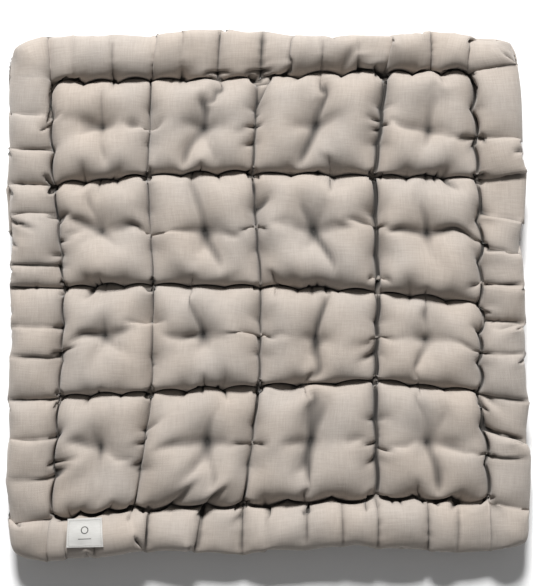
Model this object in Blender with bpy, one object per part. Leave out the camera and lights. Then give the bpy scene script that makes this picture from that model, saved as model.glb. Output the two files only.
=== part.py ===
"""Square tufted floor cushion.

Two cover panels are sewn together round the edge and filled with fibre. Ten long running
stitches, five along X and five along Y, quilt the cushion into four by four squares inside a
border roll, and each square has a tie in its middle. A small label is sewn to the border.

Metres, +Z up. The origin is the middle of the footprint, on the floor. +Y is the far side.
"""

import math

import bmesh
import bpy
from mathutils import Vector

# Overall size
WIDTH = 1.000
DEPTH = 1.000
CORNER_RADIUS = 0.055

# Heights above the floor
PUFF_TOP = 0.100
ROLL_TOP = 0.092
SEAM_TOP = 0.056
TUFT_TOP = 0.062
EDGE_SEAM = 0.046
TUFT_BOTTOM = 0.026
SEAM_BOTTOM = 0.030
FLOOR = 0.0

# Border roll, from the outer seam to the edge, on each side
BORDER_LEFT = 0.087
BORDER_RIGHT = 0.088
BORDER_NEAR = 0.103
BORDER_FAR = 0.076

# The squares between the outer seams: how the columns and the rows share the space
COLUMN_SHARES = (0.184, 0.206, 0.236, 0.199)
ROW_SHARES = (0.215, 0.196, 0.218, 0.192)
STITCHES_PER_SQUARE = 3

# Cloth, threads and clearances
COVER_THICKNESS = 0.0012
THREAD_RADIUS = 0.0005
EDGE_THREAD_RADIUS = 0.0006
LABEL_THREAD_RADIUS = 0.0003
TOUCH_GAP = 0.0003
STITCH_OFFSET = 0.0010
TIE_SPAN = 0.0080
FILL_EDGE_GAP = 0.0050

# Label
LABEL_WIDTH = 0.067
LABEL_HEIGHT = 0.055
LABEL_THICKNESS = 0.0006
LABEL_FROM_LEFT_SEAM = 0.030
LABEL_FROM_NEAR_SEAM = 0.031
LABEL_STITCH_INSET = 0.003

# Cross-section of the border roll: how far out of its width, and how far up or down
ROLL_SHAPE = ((0.35, 0.93), (0.62, 1.00), (0.88, 0.56), (1.00, 0.00))
UNDERSIDE_SHAPE = ((0.35, 1.00), (0.62, 1.00), (0.88, 0.56), (1.00, 0.00))

THREAD_SIDES_RESOLUTION = 1
CLOTH_COLOUR = (0.376, 0.333, 0.293, 1.0)
THREAD_COLOUR = (0.250, 0.215, 0.185, 1.0)
FIBRE_COLOUR = (0.880, 0.870, 0.840, 1.0)
LABEL_COLOUR = (0.800, 0.800, 0.780, 1.0)


def clear_scene():
    for obj in list(bpy.data.objects):
        bpy.data.objects.remove(obj, do_unlink=True)


def cloth_material(name, colour, roughness):
    material = bpy.data.materials.new(name)
    material.use_nodes = True
    shader = material.node_tree.nodes["Principled BSDF"]
    shader.inputs["Base Color"].default_value = colour
    shader.inputs["Roughness"].default_value = roughness
    shader.inputs["Metallic"].default_value = 0.0
    return material


def seam_places(low, high, shares):
    """Where the seams lie across the cushion, from the low outer seam to the high one."""
    places = [low]
    for share in shares:
        places.append(places[-1] + (high - low) * share / sum(shares))
    return places


SEAM_X = seam_places(-WIDTH / 2 + BORDER_LEFT, WIDTH / 2 - BORDER_RIGHT, COLUMN_SHARES)
SEAM_Y = seam_places(-DEPTH / 2 + BORDER_NEAR, DEPTH / 2 - BORDER_FAR, ROW_SHARES)


def stitch_places(seams):
    """The stitches along a line: every seam it crosses, and the steps between them."""
    places = [seams[0]]
    for low, high in zip(seams, seams[1:]):
        step = (high - low) / STITCHES_PER_SQUARE
        places += [low + step * k for k in range(1, STITCHES_PER_SQUARE + 1)]
    return places


STITCH_X = stitch_places(SEAM_X)
STITCH_Y = stitch_places(SEAM_Y)
TUFT_X = [(a + b) / 2 for a, b in zip(SEAM_X, SEAM_X[1:])]
TUFT_Y = [(a + b) / 2 for a, b in zip(SEAM_Y, SEAM_Y[1:])]

# From the middle of a hole to a corner. A seam hole is a diamond that takes two threads, and
# a tie's hole is a triangle, whose corners lie further out than a diamond's.
TRIANGLE_REACH = 2.8
SEAM_HOLE = 2 * STITCH_OFFSET + math.sqrt(2) * (THREAD_RADIUS + TOUCH_GAP)
TUFT_HOLE = TRIANGLE_REACH * (THREAD_RADIUS + TOUCH_GAP)


def steepness():
    """The steepest rise over run of the quilted squares and the roll's inner wall, top or bottom."""
    squares = [b - a for seams in (SEAM_X, SEAM_Y) for a, b in zip(seams, seams[1:])]
    step = min(squares) / STITCHES_PER_SQUARE
    to_tie = step / 2 - TIE_SPAN / 2
    roll_run = ROLL_SHAPE[0][0] * min(BORDER_LEFT, BORDER_RIGHT, BORDER_NEAR, BORDER_FAR)
    rises = (
        ((PUFF_TOP - SEAM_TOP) / step),
        ((PUFF_TOP - TUFT_TOP) / to_tie),
        ((ROLL_TOP - SEAM_TOP) / roll_run),
        ((TUFT_BOTTOM - FLOOR) / to_tie),
        ((SEAM_BOTTOM - FLOOR) / roll_run),
    )
    return max(rises)


SLOPE = steepness()
SLANT = math.hypot(1, SLOPE)
# Straight up or down from a sloping sheet, these leave the wanted gap across the slope
FILL_DROP = (COVER_THICKNESS + TOUCH_GAP) * SLANT
TIE_LIFT = (THREAD_RADIUS + TOUCH_GAP) * SLANT
THREAD_LIFT = STITCH_OFFSET * SLOPE + TIE_LIFT


class Side:
    """One face of the quilt, top or bottom: its heights and the shape of its border."""

    def __init__(self, puff, roll, seam, tuft, shape):
        self.puff = puff
        self.roll = roll
        self.seam = seam
        self.tuft = tuft
        self.shape = shape
        self.up = 1 if puff > seam else -1

    def edge(self):
        """The panel's rim, half a gap from the edge seam and clear of the other panel's rim."""
        return EDGE_SEAM + self.up * (TOUCH_GAP + COVER_THICKNESS / 2)

    def border(self, width, sunk=0.0):
        """(out, height) of the roll's corners. Sunk, they are the fill's, inside the cover."""
        corners = []
        for out, rise in self.shape[:-1]:
            start = self.seam if rise_is_inner(out) else self.edge()
            corners.append((out * width, start + rise * (self.roll - start) - self.up * sunk))
        if not sunk:
            corners.append((width, self.edge()))
            return corners
        out, height = corners.pop()
        corners.append((out - COVER_THICKNESS - TOUCH_GAP, height))
        corners.append((width - FILL_EDGE_GAP, EDGE_SEAM + self.up * FILL_EDGE_GAP / 4))
        return corners


def rise_is_inner(out):
    return out < ROLL_SHAPE[1][0]


TOP = Side(PUFF_TOP, ROLL_TOP, SEAM_TOP, TUFT_TOP, ROLL_SHAPE)
BOTTOM = Side(FLOOR, FLOOR, SEAM_BOTTOM, TUFT_BOTTOM, UNDERSIDE_SHAPE)


def lines(stitches, low_border, high_border):
    """Grid lines across the quilt: the roll's corners, the stitches, the roll's corners."""
    low = [stitches[0] - out for out, _ in reversed(low_border)]
    high = [stitches[-1] + out for out, _ in high_border]
    return low + list(stitches) + high


def rounded(x, y):
    """Moves a point of a square outline's corner onto the round one, ring by ring."""
    beyond_x = abs(x) - (WIDTH / 2 - CORNER_RADIUS)
    beyond_y = abs(y) - (DEPTH / 2 - CORNER_RADIUS)
    if beyond_x <= 0 or beyond_y <= 0:
        return x, y
    shrink = max(beyond_x, beyond_y) / math.hypot(beyond_x, beyond_y)
    new_x = WIDTH / 2 - CORNER_RADIUS + beyond_x * shrink
    new_y = DEPTH / 2 - CORNER_RADIUS + beyond_y * shrink
    return math.copysign(new_x, x), math.copysign(new_y, y)


def quilt_sheet(side, sunk=0.0):
    """The points and faces of one quilted sheet, with a hole at every stitch and tie."""
    rings = len(side.border(BORDER_LEFT, sunk))
    borders = {
        "left": side.border(BORDER_LEFT, sunk),
        "right": side.border(BORDER_RIGHT, sunk),
        "near": side.border(BORDER_NEAR, sunk),
        "far": side.border(BORDER_FAR, sunk),
    }
    xs = lines(STITCH_X, borders["left"], borders["right"])
    ys = lines(STITCH_Y, borders["near"], borders["far"])
    heights = [side.seam - side.up * sunk] + [height for _, height in borders["left"]]
    last_x, last_y = len(xs) - 1 - rings, len(ys) - 1 - rings

    def outward(index, last):
        return max(rings - index, index - last, 0)

    points, faces, holes = [], [], {}
    for j, y in enumerate(ys):
        for i, x in enumerate(xs):
            ring = max(outward(i, last_x), outward(j, last_y))
            on_seam = (i - rings) % STITCHES_PER_SQUARE == 0 or (j - rings) % STITCHES_PER_SQUARE == 0
            if ring:
                height = heights[ring]
            elif on_seam:
                height = heights[0]
                holes[len(points)] = SEAM_HOLE
            else:
                height = side.puff - side.up * sunk
            points.append(Vector((*rounded(x, y), height)))

    def tied_square(corners, tie_x, tie_y):
        """The middle of a square, drawn in to the two holes of its tie."""
        first = len(points)
        for shift in (-TIE_SPAN / 2, TIE_SPAN / 2):
            holes[len(points)] = TUFT_HOLE
            points.append(Vector((tie_x + shift, tie_y, side.tuft - side.up * sunk)))
        a, b, c, d = corners
        left, right = first, first + 1
        faces.extend([(a, b, right, left), (b, c, right), (c, d, left, right), (d, a, left)])

    for j in range(len(ys) - 1):
        for i in range(len(xs) - 1):
            a = j * len(xs) + i
            b, c, d = a + 1, a + 1 + len(xs), a + len(xs)
            column, row = (i - rings) % STITCHES_PER_SQUARE, (j - rings) % STITCHES_PER_SQUARE
            inside = rings <= i < last_x and rings <= j < last_y
            beside_corner = (i < rings or i >= last_x) and (j < rings or j >= last_y)
            middle = STITCHES_PER_SQUARE // 2
            if inside and column == row == middle:
                square_x, square_y = (i - rings) // STITCHES_PER_SQUARE, (j - rings) // STITCHES_PER_SQUARE
                tied_square((a, b, c, d), TUFT_X[square_x], TUFT_Y[square_y])
            elif beside_corner:
                faces.extend(split_quad(a, b, c, d, (i < rings) == (j < rings)))
            elif inside and column != middle and row != middle:
                faces.extend(split_quad(a, b, c, d, column == row))
            else:
                faces.append((a, b, c, d))
    points, faces = pierced(points, faces, holes)
    if side.up < 0:
        faces = [tuple(reversed(face)) for face in faces]
    return points, faces


def split_quad(a, b, c, d, from_first):
    """Two triangles, folded along a-c or b-d, so that sheets over each other fold alike."""
    return [(a, b, c), (a, c, d)] if from_first else [(a, b, d), (b, c, d)]


def pierced(points, faces, holes):
    """Opens each point listed in holes into a hole whose corners lie on the edges that met there."""
    points = list(points)
    made = {}

    def corner(centre, towards):
        if (centre, towards) not in made:
            start, end = points[centre], points[towards]
            made[centre, towards] = len(points)
            points.append(start.lerp(end, holes[centre] / (end - start).xy.length))
        return made[centre, towards]

    opened = []
    for face in faces:
        loop = []
        for place, point in enumerate(face):
            if point in holes:
                loop.append(corner(point, face[place - 1]))
                loop.append(corner(point, face[(place + 1) % len(face)]))
            else:
                loop.append(point)
        opened.append(loop)
    return points, opened


def mesh_object(name, points, faces, material):
    used = sorted({point for face in faces for point in face})
    place = {point: index for index, point in enumerate(used)}
    mesh = bpy.data.meshes.new(name)
    mesh.from_pydata([points[p] for p in used], [], [[place[p] for p in face] for face in faces])
    mesh.validate()
    obj = bpy.data.objects.new(name, mesh)
    bpy.context.scene.collection.objects.link(obj)
    mesh.materials.append(material)
    return obj


def smooth(obj, angle=math.radians(50)):
    obj.data.shade_smooth()
    obj.data.set_sharp_from_angle(angle=angle)


def cover_panel(name, side, material):
    points, faces = quilt_sheet(side)
    panel = mesh_object(name, points, faces, material)
    cloth = panel.modifiers.new("Cloth thickness", "SOLIDIFY")
    cloth.thickness = COVER_THICKNESS
    cloth.offset = -1.0
    smooth(panel)
    return panel


def fibre_fill(material):
    """The filling: the two sheets of the quilt, drawn inside the cover and closed all round."""
    top_points, top_faces = quilt_sheet(TOP, FILL_DROP)
    low_points, low_faces = quilt_sheet(BOTTOM, FILL_DROP)
    shift = len(top_points)
    faces = [list(face) for face in top_faces]
    faces += [[point + shift for point in face] for face in low_faces]
    edges = {(a, b) for face in top_faces for a, b in zip(face, list(face[1:]) + [face[0]])}
    rims = [(a, b) for a, b in edges if (b, a) not in edges]
    faces += [[b, a, a + shift, b + shift] for a, b in sorted(rims)]
    fill = mesh_object("fibre_fill", top_points + low_points, faces, material)
    smooth(fill)
    return fill


def thread_object(name, path, radius, material, closed=False):
    """A round thread along straight runs, its ends capped unless it is a loop."""
    curve = bpy.data.curves.new(name, "CURVE")
    curve.dimensions = "3D"
    curve.bevel_depth = radius
    curve.bevel_resolution = THREAD_SIDES_RESOLUTION
    curve.use_fill_caps = not closed
    spline = curve.splines.new("POLY")
    spline.points.add(len(path) - 1)
    for point, place in zip(spline.points, path):
        point.co = (*place, 1.0)
    spline.use_cyclic_u = closed
    curve.materials.append(material)
    obj = bpy.data.objects.new(name, curve)
    bpy.context.scene.collection.objects.link(obj)
    return obj


def running_stitch(stitches, number):
    """(along, height) of a thread that goes over one stitch and under the next.

    Threads with odd and even numbers start on opposite sides, so two that share a hole
    never cross on the same face of the cushion. The tails are buried in the filling.
    """
    above = SEAM_TOP + THREAD_LIFT
    below = SEAM_BOTTOM - THREAD_LIFT
    middle = (above + below) / 2
    path = [(stitches[0], middle)]
    for count, along in enumerate(stitches):
        over_next = (count + number) % 2 == 0
        heights = (below, above) if over_next else (above, below)
        if count == 0:
            path.append((along, heights[1]))
        elif count == len(stitches) - 1:
            path.append((along, heights[0]))
        else:
            path += [(along, height) for height in heights]
    path.append((stitches[-1], middle))
    return path


def seam_threads(material):
    for number, y in enumerate(SEAM_Y):
        path = [
            (along - STITCH_OFFSET, y - STITCH_OFFSET, height)
            for along, height in running_stitch(STITCH_X, number)
        ]
        thread_object(f"cross_seam_thread_{number + 1}", path, THREAD_RADIUS, material)
    for number, x in enumerate(SEAM_X):
        path = [
            (x + STITCH_OFFSET, along + STITCH_OFFSET, height)
            for along, height in running_stitch(STITCH_Y, number)
        ]
        thread_object(f"long_seam_thread_{number + 1}", path, THREAD_RADIUS, material)


def tuft_ties(material):
    """A loop through each square, up one hole, over the cloth between and down the other."""
    above = TUFT_TOP + TIE_LIFT
    below = TUFT_BOTTOM - TIE_LIFT
    for row, y in enumerate(TUFT_Y):
        for column, x in enumerate(TUFT_X):
            left, right = x - TIE_SPAN / 2, x + TIE_SPAN / 2
            path = [(left, y, below), (left, y, above), (right, y, above), (right, y, below)]
            name = f"tuft_tie_{row + 1}_{column + 1}"
            thread_object(name, path, THREAD_RADIUS, material, closed=True)


def edge_seam_thread(material):
    """The thread that joins the panels, just inside their rims, all the way round."""
    inset = COVER_THICKNESS + 2 * TOUCH_GAP + EDGE_THREAD_RADIUS
    half_x, half_y = WIDTH / 2 - inset, DEPTH / 2 - inset
    path = []
    for sign_x, sign_y in ((1, 1), (-1, 1), (-1, -1), (1, -1)):
        corner = []
        for angle in (0, 15, 30, 45, 60, 75, 90):
            reach = CORNER_RADIUS - inset
            corner.append((
                sign_x * (half_x - reach + reach * math.cos(math.radians(angle))),
                sign_y * (half_y - reach + reach * math.sin(math.radians(angle))),
                EDGE_SEAM,
            ))
        path += corner if sign_x * sign_y > 0 else reversed(corner)
    thread_object("edge_seam_thread", path, EDGE_THREAD_RADIUS, material, closed=True)


def roll_profile(first, last):
    """(out, height) along the top of the near roll from one distance out to another."""
    corners = [(0.0, TOP.seam)] + TOP.border(BORDER_NEAR)

    def height_at(out):
        for (out_a, height_a), (out_b, height_b) in zip(corners, corners[1:]):
            if out_a <= out <= out_b:
                share = (out - out_a) / (out_b - out_a)
                return height_a + share * (height_b - height_a)
        return corners[-1][1]

    inner = [corner for corner in corners if first < corner[0] < last]
    return [(first, height_at(first))] + inner + [(last, height_at(last))]


def lifted(profile, distance):
    """The same line, moved off the roll by a distance measured square to it."""
    moved = []
    for index, (out, height) in enumerate(profile):
        before = profile[max(index - 1, 0)]
        after = profile[min(index + 1, len(profile) - 1)]
        normals = []
        for start, end in ((before, (out, height)), ((out, height), after)):
            run, rise = end[0] - start[0], end[1] - start[1]
            length = math.hypot(run, rise)
            if length:
                normals.append(Vector((-rise / length, run / length)))
        normal = sum(normals, Vector((0, 0))).normalized()
        mitre = distance / max(normal.dot(normals[0]), 0.5)
        moved.append((out + normal.x * mitre, height + normal.y * mitre))
    return moved


LABEL_LEFT = SEAM_X[0] + LABEL_FROM_LEFT_SEAM
LABEL_RIGHT = LABEL_LEFT + LABEL_WIDTH


def label(material):
    profile = roll_profile(LABEL_FROM_NEAR_SEAM, LABEL_FROM_NEAR_SEAM + LABEL_HEIGHT)
    under = lifted(profile, TOUCH_GAP)
    over = lifted(profile, TOUCH_GAP + LABEL_THICKNESS)
    outline = under + list(reversed(over))
    points = [
        Vector((x, SEAM_Y[0] - out, height))
        for x in (LABEL_LEFT, LABEL_RIGHT)
        for out, height in outline
    ]
    count = len(outline)
    half = len(under)
    faces = []
    for k in range(half - 1):
        opposite = count - 1 - k
        faces.append([k, k + 1, opposite - 1, opposite])
        faces.append([count + opposite, count + opposite - 1, count + k + 1, count + k])
    for k in range(count):
        following = (k + 1) % count
        faces.append([following, k, count + k, count + following])
    piece = mesh_object("label", points, faces, material)
    shell = bmesh.new()
    shell.from_mesh(piece.data)
    bmesh.ops.recalc_face_normals(shell, faces=shell.faces)
    shell.to_mesh(piece.data)
    shell.free()
    smooth(piece)


def label_stitching(material):
    """A loop of thread near the label's edge, lying on it."""
    first = LABEL_FROM_NEAR_SEAM + LABEL_STITCH_INSET
    last = LABEL_FROM_NEAR_SEAM + LABEL_HEIGHT - LABEL_STITCH_INSET
    off_roll = 2 * TOUCH_GAP + LABEL_THICKNESS + LABEL_THREAD_RADIUS
    line = lifted(roll_profile(first, last), off_roll)
    left, right = LABEL_LEFT + LABEL_STITCH_INSET, LABEL_RIGHT - LABEL_STITCH_INSET
    path = [(left, SEAM_Y[0] - out, height) for out, height in line]
    path += [(right, SEAM_Y[0] - out, height) for out, height in reversed(line)]
    thread_object("label_stitching", path, LABEL_THREAD_RADIUS, material, closed=True)


def build():
    clear_scene()
    cloth = cloth_material("cover_fabric", CLOTH_COLOUR, 0.9)
    thread = cloth_material("sewing_thread", THREAD_COLOUR, 0.8)
    fibre = cloth_material("fibre", FIBRE_COLOUR, 1.0)
    tape = cloth_material("label_fabric", LABEL_COLOUR, 0.85)
    cover_panel("top_panel", TOP, cloth)
    cover_panel("bottom_panel", BOTTOM, cloth)
    fibre_fill(fibre)
    seam_threads(thread)
    tuft_ties(thread)
    edge_seam_thread(thread)
    label(tape)
    label_stitching(tape)


build()
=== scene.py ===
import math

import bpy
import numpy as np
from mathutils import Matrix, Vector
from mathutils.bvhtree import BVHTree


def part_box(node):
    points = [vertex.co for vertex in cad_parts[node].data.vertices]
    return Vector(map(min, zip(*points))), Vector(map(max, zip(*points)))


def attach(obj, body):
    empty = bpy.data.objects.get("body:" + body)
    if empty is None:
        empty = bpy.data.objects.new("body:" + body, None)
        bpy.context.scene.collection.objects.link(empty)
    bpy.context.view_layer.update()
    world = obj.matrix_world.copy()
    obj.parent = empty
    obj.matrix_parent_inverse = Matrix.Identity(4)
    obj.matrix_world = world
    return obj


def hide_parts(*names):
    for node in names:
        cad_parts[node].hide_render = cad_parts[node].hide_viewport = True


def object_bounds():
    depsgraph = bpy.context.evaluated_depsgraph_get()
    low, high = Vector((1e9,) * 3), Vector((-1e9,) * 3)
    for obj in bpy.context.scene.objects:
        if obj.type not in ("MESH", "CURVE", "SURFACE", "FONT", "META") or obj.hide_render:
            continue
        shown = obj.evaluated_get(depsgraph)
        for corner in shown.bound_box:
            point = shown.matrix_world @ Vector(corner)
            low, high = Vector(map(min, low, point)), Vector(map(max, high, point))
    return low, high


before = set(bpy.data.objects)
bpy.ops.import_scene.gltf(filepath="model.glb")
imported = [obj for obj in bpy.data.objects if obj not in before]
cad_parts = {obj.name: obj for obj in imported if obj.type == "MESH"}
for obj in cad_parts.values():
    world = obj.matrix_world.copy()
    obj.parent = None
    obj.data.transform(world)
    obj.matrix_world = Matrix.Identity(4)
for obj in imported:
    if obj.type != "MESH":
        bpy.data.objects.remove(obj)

# A quilted floor cushion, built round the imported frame, in metres: +X right, +Y far, +Z up.
#
# Both panels of the cover start as flat cloth and are blown up by a small cloth solver of
# this file's own, held at the seam stitches, at the ties and along the edge seam, so that
# puffs, scalloped seams and the gathered roll come from the cloth itself. Threads, filling
# and label are then laid on the finished panels.

cad_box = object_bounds()

# ---------------------------------------------------------------- sizes from the frame


def middle(node):
    low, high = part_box(node)
    return (Vector(low) + Vector(high)) / 2


COLUMNS, ROWS = 4, 4
STITCHES_PER_SQUARE = 3
SEAM_X = [middle(f"long_seam_thread_{k}").x for k in range(1, COLUMNS + 2)]
SEAM_Y = [middle(f"cross_seam_thread_{k}").y for k in range(1, ROWS + 2)]
HALF = (cad_box[1][0] - cad_box[0][0]) / 2
EDGE_HEIGHT = middle("edge_seam_thread").z
CORNER_RADIUS = 0.055
THREAD_RADIUS = 0.0005
EDGE_THREAD_RADIUS = 0.0006
LABEL_THREAD_RADIUS = 0.0003
CLOTH_THICKNESS = 0.0012

# ---------------------------------------------------------------- how the cushion really lies

# Where the seams cross, and where the ties are, near row first.
CROSSINGS = (
    ((-0.410, -0.420), (-0.255, -0.402), (-0.046, -0.395), (0.209, -0.382), (0.424, -0.387)),
    ((-0.396, -0.195), (-0.223, -0.189), (-0.017, -0.177), (0.206, -0.166), (0.403, -0.186)),
    ((-0.386, 0.014), (-0.219, 0.020), (-0.013, 0.016), (0.211, 0.005), (0.407, -0.016)),
    ((-0.405, 0.210), (-0.231, 0.229), (-0.029, 0.233), (0.204, 0.227), (0.400, 0.224)),
    ((-0.413, 0.404), (-0.223, 0.412), (-0.019, 0.414), (0.226, 0.425), (0.388, 0.425)),
)
TUFTS = (
    ((-0.318, -0.290), (-0.115, -0.277), (0.083, -0.277), (0.3055, -0.280)),
    ((-0.310, -0.075), (-0.122, -0.0725), (0.0927, -0.081), (0.303, -0.082)),
    ((-0.315, 0.123), (-0.120, 0.1256), (0.0895, 0.1246), (0.306, 0.1214)),
    ((-0.314, 0.3225), (-0.120, 0.3225), (0.094, 0.327), (0.310, 0.317)),
)
# How far the outline draws in from the cut size: (place along the side, inward).
OUTLINE = {
    "left": ((-0.45, 0.01), (-0.35, 0), (-0.20, 0.01), (0.01, 0.018), (0.10, 0.01), (0.43, 0)),
    "right": ((-0.40, 0), (-0.20, 0.01), (0.05, 0.016), (0.43, 0.015)),
    "near": ((-0.38, 0), (-0.15, 0.02), (0.05, 0.02), (0.16, 0.03), (0.26, 0.02)),
    "far": ((-0.30, 0.01), (-0.12, 0), (0.08, 0.015), (0.25, 0.006), (0.42, 0.004)),
}
# Folds across the roll: (place on its seam, place on the edge, depth).
TOP_PLEATS = {
    "far": ((-0.413, -0.425, 0.034), (-0.366, -0.372, 0.009), (-0.297, -0.298, 0.009),
            (-0.222, -0.190, 0.014), (-0.163, -0.155, 0.008), (-0.095, -0.087, 0.038),
            (-0.016, -0.012, 0.036), (0.042, 0.063, 0.009), (0.103, 0.108, 0.006),
            (0.171, 0.168, 0.006), (0.226, 0.266, 0.014), (0.313, 0.312, 0.032),
            (0.388, 0.372, 0.014)),
    "near": ((-0.410, -0.424, 0.014), (-0.376, -0.390, 0.009), (-0.330, -0.330, 0.006),
             (-0.225, -0.235, 0.026), (-0.123, -0.142, 0.026), (-0.046, -0.048, 0.034),
             (0.004, -0.008, 0.008), (0.077, 0.080, 0.009), (0.140, 0.144, 0.006),
             (0.209, 0.212, 0.009), (0.304, 0.308, 0.020), (0.367, 0.358, 0.016),
             (0.424, 0.436, 0.024)),
    "left": ((-0.420, -0.450, 0.020), (-0.345, -0.350, 0.005), (-0.272, -0.280, 0.005),
             (-0.195, -0.200, 0.020), (-0.115, -0.112, 0.004), (-0.060, -0.055, 0.005),
             (0.014, 0.020, 0.022), (0.060, 0.060, 0.005), (0.155, 0.157, 0.005),
             (0.210, 0.215, 0.014), (0.278, 0.275, 0.005), (0.345, 0.345, 0.004)),
    "right": ((-0.387, -0.420, 0.014), (-0.307, -0.307, 0.005), (-0.247, -0.281, 0.020),
              (-0.186, -0.205, 0.014), (-0.108, -0.108, 0.005), (-0.043, -0.052, 0.022),
              (0.022, 0.020, 0.012), (0.098, 0.068, 0.007), (0.161, 0.115, 0.009),
              (0.224, 0.258, 0.016), (0.307, 0.292, 0.010), (0.425, 0.456, 0.014)),
}
# The creases that run out from each tie: (direction in degrees, reach, strength).
CREASES = (
    (((101, 0.098, 0.6), (329, 0.101, 0.7), (168, 0.096, 0.8), (265, 0.118, 0.9)),
     ((68, 0.096, 1.3), (185, 0.111, 0.6), (356, 0.085, 0.5), (271, 0.120, 1.2), (244, 0.133, 0.6)),
     ((81, 0.085, 1.3), (64, 0.102, 0.8), (182, 0.103, 0.6), (3, 0.120, 0.7), (268, 0.087, 1.3),
      (248, 0.110, 0.6)),
     ((107, 0.095, 0.8), (59, 0.101, 0.8), (185, 0.092, 0.7), (8, 0.105, 0.6), (346, 0.112, 0.9),
      (283, 0.082, 0.8))),
    (((102, 0.090, 0.7), (7, 0.084, 0.4), (169, 0.090, 0.7), (327, 0.082, 0.8), (251, 0.108, 0.5)),
     ((107, 0.091, 0.7), (352, 0.094, 0.5), (180, 0.102, 0.5), (256, 0.107, 0.7), (294, 0.113, 0.5)),
     ((69, 0.098, 1.2), (177, 0.115, 0.5), (356, 0.108, 0.6), (269, 0.080, 1.2), (289, 0.099, 0.8),
      (241, 0.107, 0.5)),
     ((96, 0.081, 0.7), (181, 0.092, 0.8), (346, 0.101, 0.8), (256, 0.098, 0.6))),
    (((112, 0.107, 0.6), (11, 0.085, 0.5), (163, 0.092, 0.8), (307, 0.043, 0.8), (227, 0.073, 0.4)),
     ((108, 0.107, 0.8), (174, 0.103, 0.6), (358, 0.093, 0.6), (256, 0.058, 0.7), (295, 0.114, 0.9)),
     ((109, 0.107, 0.7), (70, 0.107, 0.8), (7, 0.118, 0.6), (175, 0.111, 0.6), (295, 0.109, 1.0),
      (248, 0.112, 0.6)),
     ((103, 0.108, 0.6), (11, 0.101, 0.8), (171, 0.095, 0.8), (278, 0.100, 0.6))),
    (((99, 0.073, 0.5), (174, 0.096, 0.8), (206, 0.106, 0.5), (282, 0.091, 0.8), (0, 0.086, 0.5)),
     ((106, 0.093, 0.7), (71, 0.095, 0.9), (242, 0.087, 0.8), (295, 0.090, 0.8), (171, 0.100, 0.4),
      (2, 0.100, 0.5)),
     ((79, 0.088, 1.0), (115, 0.100, 0.4), (5, 0.126, 0.5), (241, 0.097, 0.8), (182, 0.107, 0.4)),
     ((82, 0.103, 0.9), (170, 0.084, 0.9), (353, 0.096, 0.9), (246, 0.086, 0.5))),
)
# How far each seam bows between stitches, and how wide it gapes, in the order of the seams.
CROSS_BOWS = (-0.009, 0.008, 0.007, 0.008, 0.010)
CROSS_GAPS = (0.0035, 0.0014, 0.0014, 0.0014, 0.0018)
LONG_BOWS = (-0.005, 0.002, 0.002, 0.003, 0.008)
LONG_GAPS = (0.0016, 0.0014, 0.0026, 0.0046, 0.0032)
LABEL_CORNERS = ((-0.381, -0.477), (-0.310, -0.475), (-0.314, -0.420), (-0.379, -0.423))
LABEL_FLAT = (0.067, 0.055)

# ---------------------------------------------------------------- the cloth solver

# The roll's cross-section from its seam to the edge seam: shares of the border and of its rise.
ROLL_OUT = (0, 0.015, 0.06, 0.22, 0.48, 0.74, 0.92, 0.985, 0.95, 0.93)
ROLL_UP = (0, 0.35, 0.72, 0.95, 1.0, 0.88, 0.56, 0.22, 0.02, 0.0)
ROLL_WIDTH, ROLL_RISE = 0.09, 0.045
DEEP_PLEAT = 0.017
PLEAT_GAP = 0.0012
SIDES = ("near", "far", "left", "right")
# How much the filling's push varies from place to place, and how much creases take from it.
UNEVEN_PUSH, CREASE_PULL = 0.35, 3.2
CREASE_WIDTH, CREASE_SPREAD = 0.004, 0.005
SEAM_SPRING = 0.004


def smoothstep(x):
    x = np.clip(x, 0, 1)
    return x * x * (3 - 2 * x)


def roll_section(share):
    """(out, up) of the roll's section at each share of its length, with the corners eased."""
    step = np.hypot(np.diff(ROLL_OUT) * ROLL_WIDTH, np.diff(ROLL_UP) * ROLL_RISE)
    length = np.concatenate([[0], np.cumsum(step)])
    fine = np.linspace(0, 1, 300)
    out = np.interp(fine, length / length[-1], ROLL_OUT)
    up = np.interp(fine, length / length[-1], ROLL_UP)
    for _ in range(60):
        out[1:-1] = (out[:-2] + 2 * out[1:-1] + out[2:]) / 4
        up[1:-1] = (up[:-2] + 2 * up[1:-1] + up[2:]) / 4
    return np.interp(share, fine, out), np.interp(share, fine, up)


def round_corners(x, y):
    """Draws a square's points in so that its corners are round."""
    past_x = np.abs(x) - (HALF - CORNER_RADIUS)
    past_y = np.abs(y) - (HALF - CORNER_RADIUS)
    corner = (past_x > 0) & (past_y > 0)
    share = np.maximum(past_x, past_y) / np.maximum(np.hypot(past_x, past_y), 1e-9)
    new_x = np.sign(x) * (HALF - CORNER_RADIUS + past_x * share)
    new_y = np.sign(y) * (HALF - CORNER_RADIUS + past_y * share)
    return np.where(corner, new_x, x), np.where(corner, new_y, y)


def lumps(x, y, rng, small=0.035, large=0.16, count=24):
    """A smooth uneven field, about -2 to 2, with waves between those lengths."""
    total = np.zeros_like(x)
    for _ in range(count):
        wave, turn, phase = rng.uniform(small, large), rng.uniform(0, np.pi), rng.uniform(0, 7)
        total += np.cos(2 * np.pi / wave * (x * np.cos(turn) + y * np.sin(turn)) + phase)
    return np.clip(total / math.sqrt(count / 2), -2, 2)


def draw_together(points, free, a, b, length, stretch, squeeze):
    """One pass of the cloth's threads: pulls the pairs a, b towards their length."""
    ends_a, ends_b = points[a], points[b]
    gap = ends_b - ends_a
    now = np.sqrt((gap * gap).sum(-1)) + 1e-9
    free_a, free_b = free[a], free[b]
    share = (now - length) / now
    share = np.where(share > 0, stretch * share, squeeze * share)
    gap *= (share / np.maximum(free_a + free_b, 1e-6))[..., None]
    points[a] = ends_a + gap * free_a[..., None]
    points[b] = ends_b - gap * free_b[..., None]


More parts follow.
